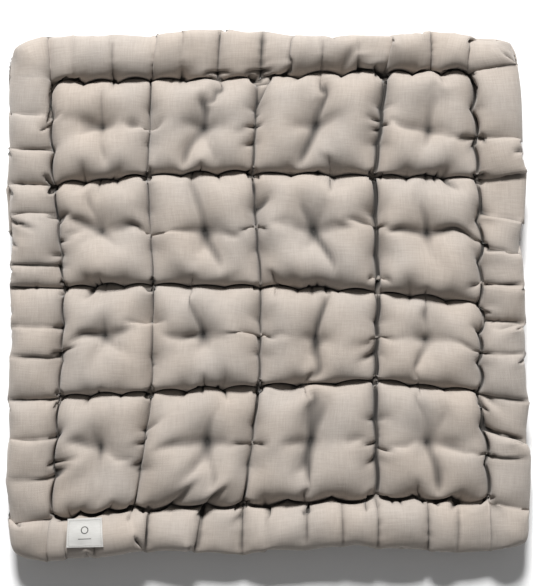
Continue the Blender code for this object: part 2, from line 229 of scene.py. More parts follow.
def unevenness(points):
    flat = np.zeros_like(points)
    around = points[:-2, 1:-1] + points[2:, 1:-1] + points[1:-1, :-2] + points[1:-1, 2:]
    flat[1:-1, 1:-1] = around / 4 - points[1:-1, 1:-1]
    return flat


def resampled(grid, spots):
    """The grid at those row and column numbers, which may lie between its own."""
    low = np.clip(spots.astype(int), 0, len(grid) - 2)
    part = (spots - low)[:, None, None]
    grid = (grid[low] * (1 - part) + grid[low + 1] * part).transpose(1, 0, 2)
    return (grid[low] * (1 - part) + grid[low + 1] * part).transpose(1, 0, 2)


def grid_normals(points):
    across, along = np.empty_like(points), np.empty_like(points)
    across[:, 1:-1] = points[:, 2:] - points[:, :-2]
    across[:, 0] = points[:, 1] - points[:, 0]
    across[:, -1] = points[:, -1] - points[:, -2]
    along[1:-1] = points[2:] - points[:-2]
    along[0] = points[1] - points[0]
    along[-1] = points[-1] - points[-2]
    normals = np.cross(across, along)
    return normals / (np.linalg.norm(normals, axis=-1, keepdims=True) + 1e-12)


class Panel:
    """One panel of the cover as a square grid of points, finer or coarser by `sub`.

    Rows and columns of the grid run along the seams. `sub` steps lie between two stitches and
    `rings` steps between the outer seam and the edge. The underside is solved as if it were a
    top, and turned over afterwards, with `ceiling` as the floor.
    """

    def __init__(self, sub, rings, style):
        self.sub, self.rings, self.style = sub, rings, style
        self.cell = STITCHES_PER_SQUARE * sub
        self.size = COLUMNS * self.cell + 2 * rings + 1
        self.seams = [rings + k * self.cell for k in range(COLUMNS + 1)]
        self.stitches = [rings + k * sub for k in range(COLUMNS * STITCHES_PER_SQUARE + 1)]
        self.ties = [rings + k * self.cell + self.cell // 2 for k in range(COLUMNS)]
        steps = np.arange(self.size)
        self.ring = np.maximum(np.maximum(rings - steps, steps - (self.size - 1 - rings)), 0)
        self.inside = self.ring == 0
        self.place = steps
        in_cell = ((steps - rings) % self.cell) / self.cell
        self.from_seam = np.minimum(in_cell, 1 - in_cell)
        self.lay_out()
        self.cut()
        self.draw_seams()
        self.group_patches()
        self.points = self.first_shape()
        self.free = np.ones((self.size, self.size))
        self.pin(self.points)

    def lay_out(self):
        """Where each point of the cloth would lie if the cushion were one smooth slab."""
        style, rings = self.style, self.rings
        out, up = roll_section(np.arange(0, rings + 1) / rings)

        def axis(seams):
            inner = np.interp(np.arange(COLUMNS * self.cell + 1) / self.cell, range(COLUMNS + 1), seams)
            low = inner[0] - (HALF + inner[0]) * out[:0:-1]
            high = inner[-1] + (HALF - inner[-1]) * out[1:]
            return np.concatenate([low, inner, high])

        x, y = np.meshgrid(axis(SEAM_X), axis(SEAM_Y))
        ring = np.maximum(self.ring[None, :], self.ring[:, None])
        base = np.where(ring <= np.argmax(up), style["seam"], EDGE_HEIGHT)
        z = np.where(ring == 0, style["seam"], base + (style["roll"] - base) * up[ring])
        shift = self.wander(x, y) * np.clip(1 - out[ring], 0, 1)[..., None]
        x, y = round_corners(x, y)
        grow = out[ring] ** 1.5
        share_x = self.ring[None, :] / np.maximum(ring, 1)
        share_y = self.ring[:, None] / np.maximum(ring, 1)
        inward = {side: np.interp(y if side in ("left", "right") else x, *zip(*OUTLINE[side]))
                  for side in SIDES}
        x = x + (inward["left"] * (x < 0) - inward["right"] * (x > 0)) * grow * share_x
        y = y + (inward["near"] * (y < 0) - inward["far"] * (y > 0)) * grow * share_y
        self.target = np.stack([x + shift[..., 0], y + shift[..., 1], z], -1)

    def wander(self, x, y):
        """How far crossings and ties lie from the even lattice, spread over the whole grid."""
        position = np.clip((self.place - self.rings) / self.cell, 0, COLUMNS)
        off_lattice = np.array(CROSSINGS) - np.stack(np.meshgrid(SEAM_X, SEAM_Y), -1)
        shift = resampled(off_lattice, position)
        for r, j in enumerate(self.ties):
            for c, i in enumerate(self.ties):
                pull = np.array(TUFTS[r][c]) - np.array([x[j, i], y[j, i]]) - shift[j, i]
                across = np.sin(np.pi * np.clip((self.place - self.seams[c]) / self.cell, 0, 1))
                along = np.sin(np.pi * np.clip((self.place - self.seams[r]) / self.cell, 0, 1))
                shift += (along[:, None] * across[None, :])[..., None] * pull
        return shift

    def cut(self):
        """The cloth's own lengths: longer than the slab's, so that it has to puff and crease."""
        style, ring = self.style, self.ring
        away = smoothstep(self.from_seam * 2 / 0.4)
        cell = style["at_seam"] + (style["in_cell"] - style["at_seam"]) * away
        rise = np.clip(ring / self.rings / 0.3, 0, 1)
        roll = style["at_seam"] + (style["round_roll"] - style["at_seam"]) * rise
        spare_x = np.where(self.inside[:, None], cell[:, None], roll[:, None])
        spare_x = spare_x * np.ones((self.size, self.size - 1))
        spare_y = spare_x.T.copy()
        across = ring[:-1] + ring[1:] > 0
        spare_x[:, across] = style["across_roll"]
        spare_y[across, :] = style["across_roll"]
        rng = np.random.default_rng(style["seed"])
        self.uneven = lumps(self.target[..., 0], self.target[..., 1], rng)
        for spare in (spare_x, spare_y.T):
            field = lumps(self.target[..., 0], self.target[..., 1], rng)
            spare *= 1 + 0.25 * (field if spare is spare_x else field.T)[:, :-1]
        self.crease(style["creases"])
        flat = self.target
        self.length_x = np.linalg.norm(flat[:, 1:] - flat[:, :-1], axis=-1) * (1 + spare_x)
        self.length_y = np.linalg.norm(flat[1:] - flat[:-1], axis=-1) * (1 + spare_y)
        mean_x = (self.length_x[:-1] + self.length_x[1:]) / 2
        mean_y = (self.length_y[:, :-1] + self.length_y[:, 1:]) / 2
        self.diagonal = np.hypot(mean_x, mean_y)

    def crease(self, table):
        """Where creases run out from the ties, the filling pushes less and the cloth sinks."""
        self.sink = np.zeros((self.size, self.size))
        rng = np.random.default_rng(3)
        for row, ties in zip(table, TUFTS):
            for creases, (x, y) in zip(row, ties):
                for degrees, reach, strength in creases:
                    turn = math.radians(degrees)
                    off_x, off_y = self.target[..., 0] - x, self.target[..., 1] - y
                    along = (off_x * math.cos(turn) + off_y * math.sin(turn)) / reach
                    sway = rng.uniform(-0.007, 0.007) * np.sin(np.pi * along)
                    aside = off_y * math.cos(turn) - off_x * math.sin(turn) + sway
                    width = CREASE_WIDTH + CREASE_SPREAD * np.clip(along, 0, 1)
                    fade = np.clip(1 - along ** 2, 0, 1) * (along > 0)
                    self.sink += strength * fade * np.exp(-(aside / width) ** 2)
        self.sink = np.clip(self.sink, 0, 1.3)

    def draw_seams(self):
        """Each seam as a curve that bows out between its stitches."""
        rng = np.random.default_rng(5)
        part = np.linspace(0, 1, 13)[:-1]
        arc = np.sin(np.pi * part) ** 0.8

        def curve(spots, way, bow, gap):
            along, across = [], []
            for a, b in zip(spots, spots[1:]):
                bulge = bow * self.style["bow"] * rng.uniform(0.6, 1.3)
                along += list(a[way] + (b[way] - a[way]) * part)
                across += list(a[1 - way] + (b[1 - way] - a[1 - way]) * part + bulge * arc)
            return (np.array(along + [spots[-1][way]]), np.array(across + [spots[-1][1 - way]]), gap)

        self.long_seams = [curve(self.target[self.stitches, i, :2], 1, bow, gap)
                           for i, bow, gap in zip(self.seams, LONG_BOWS, LONG_GAPS)]
        self.cross_seams = [curve(self.target[j, self.stitches, :2], 0, bow, gap)
                            for j, bow, gap in zip(self.seams, CROSS_BOWS, CROSS_GAPS)]

    def group_patches(self):
        """Patches of cloth that seams or deep folds part: (rows, columns, four side curves)."""
        seams = self.seams
        self.patches, self.folds = [], []
        for r in range(ROWS):
            for c in range(COLUMNS):
                self.patches.append((slice(seams[r] + 1, seams[r + 1]),
                                     slice(seams[c] + 1, seams[c + 1]),
                                     self.long_seams[c], self.long_seams[c + 1],
                                     self.cross_seams[r], self.cross_seams[r + 1]))
        for side in SIDES:
            self.group_side(side)

    def group_side(self, side):
        low, high = self.seams[0], self.seams[-1]
        outer = side in ("far", "right")
        sideways = side in ("left", "right")
        band = np.arange(high, self.size) if outer else np.arange(low, -1, -1)
        seam = high if outer else low
        way, other = (1, 0) if sideways else (0, 1)
        grid = self.target.transpose(1, 0, 2) if sideways else self.target
        share = np.arange(len(band)) / (len(band) - 1)
        deep = []
        for start, end, depth in self.style["pleats"][side]:
            k = low + int(np.argmin(np.abs(grid[seam, low:high + 1, way] - start)))
            place = grid[seam, k, way] + (end - start) * share
            self.folds.append((sideways, band, k, place, share, depth))
            if depth > DEEP_PLEAT:
                order = np.argsort(grid[band, k, other])
                deep.append((k, (grid[band, k, other][order], place[order], PLEAT_GAP)))
        deep.sort(key=lambda fold: fold[0])
        within = slice(high + 1, self.size - 1) if outer else slice(1, low)
        stops = [(low - 1, None), *deep, (high + 1, None)]
        for (first, curve), (last, next_curve) in zip(stops, stops[1:]):
            run = slice(first + 1, last)
            if sideways:
                left = self.long_seams[-1] if outer else None
                right = None if outer else self.long_seams[0]
                self.patches.append((run, within, left, right, curve, next_curve))
            else:
                below = self.cross_seams[-1] if outer else None
                above = None if outer else self.cross_seams[0]
                self.patches.append((within, run, curve, next_curve, below, above))

    def first_shape(self):
        shape = self.target.copy()
        rise = np.sin(np.pi * ((self.place - self.rings) % self.cell) / self.cell)
        rise = np.clip(rise, 0, 1) ** 0.5 * self.inside
        shape[..., 2] += 0.8 * (self.style["puff"] - self.style["seam"]) * rise[:, None] * rise
        return shape

    def pin(self, points):
        """Fixes the stitches, the ties and the edge seam."""
        for spots in (np.ix_(self.seams, self.stitches), np.ix_(self.stitches, self.seams)):
            self.free[spots] = 0
            points[spots] = self.target[spots]
        ties = np.ix_(self.ties, self.ties)
        self.free[ties] = 0
        points[ties] = self.target[ties]
        points[ties + (2,)] = self.style["tie"]
        for edge in (np.s_[0, :], np.s_[-1, :], np.s_[:, 0], np.s_[:, -1]):
            self.free[edge] = 0
            points[edge] = self.target[edge]

    def keep_in_bounds(self, fixed):
        """Cloth on one side of a seam or deep fold can't cross to the other."""
        points = self.points
        for rows, columns, left, right, near, far in self.patches:
            patch = points[rows, columns]
            x, y = patch[..., 0].copy(), patch[..., 1].copy()
            for way, curve, along in ((0, left, y), (1, near, x)):
                if curve is not None:
                    least = np.interp(along, *curve[:2]) + curve[2]
                    patch[..., way] = np.maximum(patch[..., way], least)
            for way, curve, along in ((0, right, y), (1, far, x)):
                if curve is not None:
                    most = np.interp(along, *curve[:2]) - curve[2]
                    patch[..., way] = np.minimum(patch[..., way], most)
        run = slice(self.seams[0], self.seams[-1] + 1)
        between = (np.arange(COLUMNS * self.cell + 1) % self.sub) / self.sub
        cap = self.style["seam"] + SEAM_SPRING * np.sin(np.pi * between)
        for c, i in enumerate(self.seams):
            points[run, i, 0] = np.interp(points[run, i, 1], *self.long_seams[c][:2])
            points[run, i, 2] = np.minimum(points[run, i, 2], cap)
        for r, j in enumerate(self.seams):
            points[j, run, 1] = np.interp(points[j, run, 0], *self.cross_seams[r][:2])
            points[j, run, 2] = np.minimum(points[j, run, 2], cap)
        for sideways, band, k, place, share, depth in self.folds:
            spots = (k, band) if sideways else (band, k)
            way = 1 if sideways else 0
            top = self.target[spots][:, 2] - depth * np.sin(np.pi * share) ** 0.5
            points[spots + (2,)] = np.minimum(points[spots + (2,)], top)
            loose = 0.3 * (share > 0) * (share < 1)
            points[spots + (way,)] += (place - points[spots + (way,)]) * loose
        if self.style["ceiling"]:
            np.minimum(points[..., 2], self.style["ceiling"], out=points[..., 2])
        held = self.free == 0
        points[held] = fixed[held]

    def inflate(self, steps, push, sweeps=8, damping=0.9, bend=0.1, shear=0.15, squeeze=0.4):
        points, free, size = self.points, self.free, self.size
        fixed, before = points.copy(), points.copy()
        push = push * (1 + UNEVEN_PUSH * self.uneven - CREASE_PULL * self.sink)
        for _ in range(steps):
            speed = (points - before) * damping
            before[:] = points
            points += (speed + grid_normals(points) * push[..., None]) * free[..., None]
            points -= unevenness(unevenness(points)) * bend * free[..., None]
            for sweep in range(sweeps):
                for odd in (0, 1):
                    a, b = np.s_[:, odd:size - 1:2], np.s_[:, odd + 1:size:2]
                    draw_together(points, free, a, b, self.length_x[:, odd::2], 1, squeeze)
                for odd in (0, 1):
                    a, b = np.s_[odd:size - 1:2, :], np.s_[odd + 1:size:2, :]
                    draw_together(points, free, a, b, self.length_y[odd::2, :], 1, squeeze)
                for odd in (0, 1):
                    low, high = slice(odd, size - 1, 2), slice(odd + 1, size, 2)
                    length = self.diagonal[odd::2, :]
                    draw_together(points, free, np.s_[low, :-1], np.s_[high, 1:], length,
                                  shear, shear * 0.3)
                    draw_together(points, free, np.s_[low, 1:], np.s_[high, :-1], length,
                                  shear, shear * 0.3)
                if sweep % 2 == 1:
                    self.keep_in_bounds(fixed)

    def relax(self, rounds=3, share=0.35):
        """Takes the stair-steps of the grid out of slanting creases."""
        away = smoothstep(self.from_seam / 0.15) * self.inside
        share = share * away[:, None] * away * self.free
        for _ in range(rounds):
            self.points += unevenness(self.points) * share[..., None]

    def take_shape(self, coarse):
        """Starts from the shape of a coarser panel."""
        stops, coarse_stops = ((0, panel.rings, panel.rings + COLUMNS * panel.cell, panel.size - 1)
                               for panel in (self, coarse))
        spots = np.interp(self.place, stops, coarse_stops)
        self.points = resampled(coarse.points, spots).copy()
        self.pin(self.points)


# From coarse to fine: steps between stitches, steps across the roll, then how it is inflated.
LEVELS = (
    (4, 7, dict(steps=150, push=0.0012)),
    (8, 14, dict(steps=120, push=0.0004)),
    (14, 26, dict(steps=100, push=0.00015, bend=0.05)),
)
TOP_STYLE = dict(
    seam=0.042, tie=0.052, roll=0.090, puff=0.098, ceiling=None, bow=1.0, at_seam=0.32,
    in_cell=0.27, round_roll=0.16, across_roll=0.04, seed=21, pleats=TOP_PLEATS, creases=CREASES,
)


def solve(style):
    levels = LEVELS
    panel = None
    for sub, rings, run in levels:
        coarse, panel = panel, Panel(sub, rings, style)
        if coarse:
            panel.take_shape(coarse)
        else:
            shake = np.random.default_rng(11).normal(0, 0.0006, panel.points.shape)
            panel.points += shake * panel.free[..., None]
        panel.inflate(**run)
    panel.relax()
    return panel


def bottom_pleats():
    """The underside's folds, which no photograph shows, at uneven steps of about 8 cm."""
    rng = np.random.default_rng(8)
    pleats = {}
    for side in SIDES:
        places = np.linspace(-0.36, 0.36, 10) + rng.uniform(-0.018, 0.018, 10)
        pleats[side] = tuple((p, p + rng.uniform(-0.02, 0.02), rng.uniform(0.006, 0.016))
                             for p in places)
    return pleats


# The underside is solved upside down: heights are measured down from this plane.
TURN_PLANE = 2 * EDGE_HEIGHT
BOTTOM_STYLE = dict(
    TOP_STYLE, seam=TURN_PLANE - 0.030, tie=TURN_PLANE - 0.026, roll=TURN_PLANE,
    puff=TURN_PLANE + 0.004, ceiling=TURN_PLANE, at_seam=0.14, in_cell=0.12, bow=0.4, seed=33,
    pleats=bottom_pleats(), creases=(),
)

# ---------------------------------------------------------------- meshes


def add_mesh(name, points, faces, material, flat=None, crease=None):
    """A mesh object. flat gives each point its place on the flat cloth, in metres, and
    crease says how far down a crease or seam it lies, 0 to 1, from which the cover's
    material paints shade."""
    mesh = bpy.data.meshes.new(name)
    mesh.from_pydata(np.asarray(points).tolist(), [], list(map(tuple, faces)))
    if flat is not None:
        layer = mesh.uv_layers.new(name="flat")
        corners = np.empty(len(mesh.loops), np.int32)
        mesh.loops.foreach_get("vertex_index", corners)
        layer.data.foreach_set("uv", np.asarray(flat, np.float32)[corners].ravel())
    if crease is not None:
        mesh.attributes.new("crease", "FLOAT", "POINT").data.foreach_set("value", crease)
    mesh.shade_smooth()
    mesh.materials.append(material)
    piece = bpy.data.objects.new(name, mesh)
    bpy.context.scene.collection.objects.link(piece)
    return piece


def grid_faces(rows, columns, first=0):
    index = np.arange(rows * columns).reshape(rows, columns) + first
    return np.stack([index[:-1, :-1], index[:-1, 1:], index[1:, 1:], index[1:, :-1]],
                    -1).reshape(-1, 4)


def rim_of(rows, columns):
    """The grid's outer points in order, anticlockwise from above."""
    index = np.arange(rows * columns).reshape(rows, columns)
    return np.concatenate([index[0, :-1], index[:-1, -1], index[-1, :0:-1], index[:0:-1, 0]])


def shell(outer, inner):
    """Faces of a closed thin sheet, or of a closed solid: outer grid, inner grid and rim."""
    rows, columns = outer.shape[:2]
    count = rows * columns
    rim = rim_of(rows, columns)
    after = np.roll(rim, -1)
    walls = np.stack([after, rim, rim + count, after + count], -1)
    faces = np.concatenate([grid_faces(rows, columns),
                            grid_faces(rows, columns, count)[:, ::-1], walls])
    return np.concatenate([outer.reshape(-1, 3), inner.reshape(-1, 3)]), faces


def tube(paths, radius, sides=6, closed=False):
    """Points and faces of round threads along the paths, with flat ends unless closed."""
    all_points, all_faces = [], []
    turns = np.arange(sides) * 2 * np.pi / sides
    base = 0
    for path in paths:
        path = np.asarray(path, float)
        count = len(path)
        if closed:
            along = np.roll(path, -1, 0) - np.roll(path, 1, 0)
        else:
            along = np.gradient(path, axis=0)
        along /= np.linalg.norm(along, axis=1, keepdims=True) + 1e-12
        side = np.cross(along[0], (0, 0, 1) if abs(along[0][2]) < 0.9 else (1, 0, 0))
        frames = []
        for direction in along:
            side = side - direction * side.dot(direction)
            side /= np.linalg.norm(side) + 1e-12
            frames.append((side, np.cross(direction, side)))
        for spot, (first, second) in zip(path, frames):
            ring = spot + radius * (np.cos(turns)[:, None] * first
                                    + np.sin(turns)[:, None] * second)
            all_points.append(ring)
        links = count if closed else count - 1
        for k in range(links):
            here, there = base + k * sides, base + (k + 1) % count * sides
            for s in range(sides):
                t = (s + 1) % sides
                all_faces.append((here + s, here + t, there + t, there + s))
        if not closed:
            last = base + (count - 1) * sides
            for s in range(1, sides - 1):
                all_faces.append((base, base + s + 1, base + s, base))
                all_faces.append((last, last + s, last + s + 1, last))
        base += count * sides
    faces = [face if face[0] != face[3] else face[:3] for face in all_faces]
    return np.concatenate(all_points), faces


def eased(path, rounds, closed=False):
    """The path with its corners rounded, as thread turns through cloth."""
    path = np.asarray(path, float)
    for _ in range(rounds):
        after = np.roll(path, -1, 0)
        cut = np.stack([path * 0.75 + after * 0.25, path * 0.25 + after * 0.75], 1).reshape(-1, 3)
        path = cut if closed else np.concatenate([path[:1], cut[:-2], path[-1:]])
    return path


# ---------------------------------------------------------------- materials


class Nodes:
    """Short names for the nodes of one material."""

    def __init__(self, name):
        self.material = bpy.data.materials.new(name)
        self.material.use_nodes = True
        self.tree = self.material.node_tree
        self.shader = self.tree.nodes["Principled BSDF"]

    def link(self, value, socket):
        if isinstance(value, bpy.types.NodeSocket):
            self.tree.links.new(value, socket)
        else:
            socket.default_value = value

    def add(self, kind, inputs, output=0, **settings):
        node = self.tree.nodes.new(kind)
        for key, value in settings.items():
            setattr(node, key, value)
        for key, value in inputs.items():
            self.link(value, node.inputs[key])
        return node.outputs[output]

    def math(self, operation, a, b=0.0, c=0.0):
        return self.add("ShaderNodeMath", {0: a, 1: b, 2: c}, operation=operation)

    def noise(self, vector, scale, detail=2.0, roughness=0.5):
        inputs = {"Vector": vector, "Scale": scale, "Detail": detail, "Roughness": roughness}
        return self.add("ShaderNodeTexNoise", inputs)

    def stretched(self, vector, x, y):
        return self.add("ShaderNodeVectorMath", {0: vector, 1: (x, y, 1)}, operation="MULTIPLY")

    def ramp(self, value, low, high, to_low, to_high):
        inputs = {"Value": value, "From Min": low, "From Max": high,
                  "To Min": to_low, "To Max": to_high}
        return self.add("ShaderNodeMapRange", inputs)

    def mixed(self, share, a, b, blend="MIX"):
        node = self.tree.nodes.new("ShaderNodeMix")
        node.data_type, node.blend_type = "RGBA", blend
        for key, value in ((0, share), (6, a), (7, b)):
            self.link(value, node.inputs[key])
        return node.outputs[2]

    def finish(self, colour, height, depth, roughness, **constants):
        self.link(colour, self.shader.inputs["Base Color"])
        self.link(roughness, self.shader.inputs["Roughness"])
        bump = self.add("ShaderNodeBump", {"Height": height, "Distance": depth, "Strength": 1.0})
        self.link(bump, self.shader.inputs["Normal"])
        for key, value in constants.items():
            self.shader.inputs[key.replace("_", " ")].default_value = value
        return self.material


def woven(nodes, flat, pitch):
    """Height of a plain weave of that yarn pitch, 0 to 1."""
    axes = nodes.tree.nodes.new("ShaderNodeSeparateXYZ")
    nodes.link(flat, axes.inputs[0])
    turns = math.pi / pitch
    over = nodes.math("SINE", nodes.math("MULTIPLY", axes.outputs[0], turns))
    under = nodes.math("SINE", nodes.math("MULTIPLY", axes.outputs[1], turns))
    return nodes.math("MULTIPLY_ADD", nodes.math("MULTIPLY", over, under), 0.5, 0.5)


def cover_fabric():
    """Taupe cotton with thick and thin yarns both ways, and painted shade: darker in its creases and
    seams and in the dips of its weave.
    """
    nodes = Nodes("cover_fabric")
    flat = nodes.add("ShaderNodeUVMap", {}, uv_map="flat")
    weave = woven(nodes, flat, 0.0008)
    weft = nodes.noise(nodes.stretched(flat, 26, 420), 1.0, 3.0, 0.6)
    warp = nodes.noise(nodes.stretched(flat, 420, 26), 1.0, 3.0, 0.6)
    slubs = nodes.math("ADD", weft, warp)
    patches = nodes.noise(flat, 7.0, 2.0)
    grime = nodes.noise(flat, 38.0, 4.0, 0.6)
    colour = nodes.mixed(nodes.ramp(patches, 0.35, 0.65, 0, 1), (0.385, 0.332, 0.286, 1),
                         (0.372, 0.331, 0.295, 1))
    shade = nodes.ramp(slubs, 0.7, 1.3, 0.90, 1.09)
    fine = nodes.ramp(grime, 0.3, 0.7, 0.965, 1.03)
    # Painted shade: the colour is darker in the dips of the weave and lighter on its crowns.
    yarn = nodes.ramp(weave, 0, 1, 0.90, 1.06)
    # Painted shade: the colour is darkened to as little as 7% down in creases and seams, where shadow
    # falls, by each point's crease depth.
    crease = nodes.add("ShaderNodeAttribute", {}, 2, attribute_name="crease")
    painted_hollow_shade = nodes.ramp(crease, 0.10, 0.76, 1.0, 0.07)
    level = nodes.math("MULTIPLY", nodes.math("MULTIPLY", shade, fine), yarn)
    level = nodes.math("MULTIPLY", level, painted_hollow_shade)
    colour = nodes.mixed(1.0, colour, nodes.add("ShaderNodeCombineXYZ", {0: level, 1: level, 2: level}),
                         "MULTIPLY")
    height = nodes.math("MULTIPLY_ADD", slubs, 0.8, nodes.math("MULTIPLY", weave, 0.5))
    rough = nodes.ramp(slubs, 0.7, 1.3, 0.92, 0.84)
    return nodes.finish(colour, height, 0.0004, rough, Sheen_Weight=0.18, Sheen_Roughness=0.45)


def twisted_thread(name, painted_hollow_shade, ridge):
    """Waxed cotton thread, with its twist, and painted shade: darker in the twist's hollows than on its
    ridges.
    """
    nodes = Nodes(name)
    place = nodes.add("ShaderNodeTexCoord", {}, 3)
    twist = nodes.add("ShaderNodeTexWave", {"Vector": place, "Scale": 900.0, "Distortion": 1.5})
    # Painted shade: the colour runs darker in the hollows of the twist, where shadow falls.
    colour = nodes.mixed(twist, (*painted_hollow_shade, 1), (*ridge, 1))
    return nodes.finish(colour, twist, 0.0001, 0.75)


def fibre():
    """Matted white polyester fibre."""
    nodes = Nodes("fibre")
    place = nodes.add("ShaderNodeTexCoord", {}, 3)
    strands = nodes.noise(nodes.stretched(place, 160, 700), 1.0, 5.0, 0.7)
    colour = nodes.mixed(strands, (0.78, 0.77, 0.74, 1), (0.92, 0.91, 0.89, 1))
    return nodes.finish(colour, strands, 0.001, 0.95)


def label_fabric():
    """Off-white woven tape, with a plain ring and bar in place of a mark, and painted shade in the dips
    of its weave.
    """
    nodes = Nodes("label_fabric")
    flat = nodes.add("ShaderNodeUVMap", {}, uv_map="flat")
    weave = woven(nodes, flat, 0.0006)
    thread = nodes.noise(nodes.stretched(flat, 60, 900), 1.0, 3.0, 0.6)
    axes = nodes.tree.nodes.new("ShaderNodeSeparateXYZ")
    nodes.link(flat, axes.inputs[0])
    x, y = axes.outputs[0], axes.outputs[1]
    off_x = nodes.math("SUBTRACT", x, LABEL_FLAT[0] / 2)
    ring_y = nodes.math("SUBTRACT", y, LABEL_FLAT[1] * 0.60)
    reach = nodes.math("SQRT", nodes.math("ADD", nodes.math("MULTIPLY", off_x, off_x),
                                          nodes.math("MULTIPLY", ring_y, ring_y)))
    ring = nodes.math("COMPARE", reach, 0.0062, 0.0009)
    bar_y = nodes.math("COMPARE", y, LABEL_FLAT[1] * 0.30, 0.0007)
    bar = nodes.math("MULTIPLY", bar_y, nodes.math("COMPARE", off_x, 0.0, 0.0120))
    mark = nodes.math("MAXIMUM", ring, bar)
    tape = nodes.mixed(nodes.ramp(thread, 0.3, 0.7, 0, 1), (0.50, 0.49, 0.465, 1),
                       (0.58, 0.572, 0.55, 1))
    # Painted shade: the tape is darkened in the dips of its weave.
    tape = nodes.mixed(nodes.ramp(weave, 0, 1, 0.12, 0.0), tape, (0.30, 0.29, 0.28, 1))
    colour = nodes.mixed(mark, tape, (0.05, 0.048, 0.045, 1))
    height = nodes.math("MULTIPLY_ADD", mark, 0.6, weave)
    return nodes.finish(colour, height, 0.00025, 0.8, Sheen_Weight=0.1)


def floor_paint():
    nodes = Nodes("floor_paint")
    place = nodes.add("ShaderNodeTexCoord", {}, 3)
    speck = nodes.noise(place, 60.0, 3.0)
    colour = nodes.mixed(speck, (0.90, 0.90, 0.90, 1), (0.92, 0.92, 0.92, 1))
    return nodes.finish(colour, speck, 0.0002, 0.9)


FABRIC, FIBRE, TAPE = cover_fabric(), fibre(), label_fabric()
THREAD = twisted_thread("sewing_thread", (0.060, 0.051, 0.043), (0.105, 0.091, 0.079))
LABEL_THREAD = twisted_thread("label_thread", (0.34, 0.32, 0.295), (0.46, 0.44, 0.41))

# ---------------------------------------------------------------- the pieces


def flat_places(panel):
    """Each point's place on the flat cloth: weave lines run with the grid."""
    x = np.concatenate([[0], np.cumsum(panel.length_x.mean(0))])
    y = np.concatenate([[0], np.cumsum(panel.length_y.mean(1))])
    return np.stack(np.meshgrid(x, y), -1)


def turned_over(points):
    return points * (1, 1, -1) + (0, 0, TURN_PLANE)


def held_apart(panel, top, bottom):
    """The two layers with room for the cloth between them, and the edge seam as their border."""
    room, roll_start = 0.004, 0.5
    out = np.maximum(panel.ring[None, :], panel.ring[:, None]) / panel.rings
    rolled = (out > roll_start) & (out < 1)
    high, low = top[..., 2], bottom[..., 2]
    short = np.clip(room - (high - low), 0, None) * (out < roll_start) / 2
    high = np.where(rolled, np.maximum(high, EDGE_HEIGHT), high + short)
    low = np.where(rolled, np.minimum(low, EDGE_HEIGHT), low - short)
    low = np.maximum(low, 0)
    return np.dstack([top[..., :2], high]), np.dstack([bottom[..., :2], low])


def crease_depth(points, outward):
    """How far each point lies below the cloth around it, as a share of a tight crease. It is used only
    to paint shade into the cover's colour.
    """
    depth = np.zeros(points.shape[:2])
    rows, columns = depth.shape
    for reach in (1, 2, 4):
        wide = np.pad(points, ((reach, reach), (reach, reach), (0, 0)), mode="edge")
        shifts = [(0, reach), (2 * reach, reach), (reach, 0), (reach, 2 * reach)]
        around = sum(wide[j:j + rows, i:i + columns] for j, i in shifts) / 4
        depth += ((around - points) * outward).sum(-1) / (0.0022 * reach)
    depth = np.clip(depth / 3, 0, 1)
    for _ in range(2):
        depth += unevenness(depth[..., None])[..., 0] * 0.5
    return np.clip(depth * 1.15, 0, 1)


def add_cover(name, panel, points, outward):
    """One panel of the cover as a closed sheet of the cloth's thickness."""
    inner = points - outward * CLOTH_THICKNESS
    inner[..., 2] = np.maximum(inner[..., 2], 0)
    solid, faces = shell(points, inner)
    if outward[panel.size // 2, panel.size // 2, 2] < 0:
        faces = faces[:, ::-1]
    flat = flat_places(panel).reshape(-1, 2)
    crease = np.tile(crease_depth(points, outward).ravel(), 2)
    return add_mesh(name, solid, faces, FABRIC, np.concatenate([flat, flat]), crease)


def tree_of(points):
    return BVHTree.FromPolygons(list(map(Vector, points.reshape(-1, 3).tolist())),
                                grid_faces(*points.shape[:2]).tolist())


def softened(points, rounds):
    points = points.copy()
    for _ in range(rounds):
        points[1:-1, 1:-1] += unevenness(points)[1:-1, 1:-1] * 0.5
    return points


def add_filling(panel, top, bottom):
    """The filling, a little inside the cover: lumpy, and drawn in at the seams and ties."""
    inset, thinnest, reach = 0.004, 0.002, 4
    edge_start, drawn_in = 0.6, 0.03
    rows = columns = panel.size
    layers = []
    for heights in (top[..., 2], -bottom[..., 2]):
        for _ in range(reach):
            wide = np.pad(heights, 1, mode="edge")
            heights = np.min([wide[j:j + rows, i:i + columns] for j in range(3) for i in range(3)], 0)
        layers.append(heights - inset)
    high, low = layers[0], -layers[1]
    out = np.maximum(panel.ring[None, :], panel.ring[:, None]) / panel.rings
    outside = out > edge_start
    high = np.where(outside, np.maximum(high, EDGE_HEIGHT + thinnest), high)
    low = np.where(outside, np.minimum(low, EDGE_HEIGHT - thinnest), low)
    centre = (high + low) / 2
    high = np.maximum(high, centre + thinnest / 2)
    low = np.minimum(low, centre - thinnest / 2)
    shrink = 1 - drawn_in * smoothstep((out - 0.35) / 0.4)[..., None]
    upper = np.dstack([top[..., :2] * shrink, high])
    lower = np.dstack([bottom[..., :2] * shrink, low])
    solid, faces = shell(upper[::2, ::2], lower[::2, ::2])
    return add_mesh("filling", solid, faces, FIBRE)


def seam_stitch_path(top, bottom, stitches, along_x, seam, number):
    """A running stitch: over the top panel, through, under the bottom panel and back up."""
    aside = 0.0012
    lift = THREAD_RADIUS + (0 if along_x else 0.0012)
    path = []
    for k in range(len(stitches) - 1):
        above = (k + number) % 2 == 0
        layer = top if above else bottom
        run = np.arange(stitches[k], stitches[k + 1] + 1)
        spots = layer[seam, run] if along_x else layer[run, seam]
        spots = spots + (0, 0, lift if above else -lift)
        spots = spots + ((0, aside, 0) if along_x else (aside, 0, 0))
        path.append(spots)
    return eased(np.concatenate(path), 1)


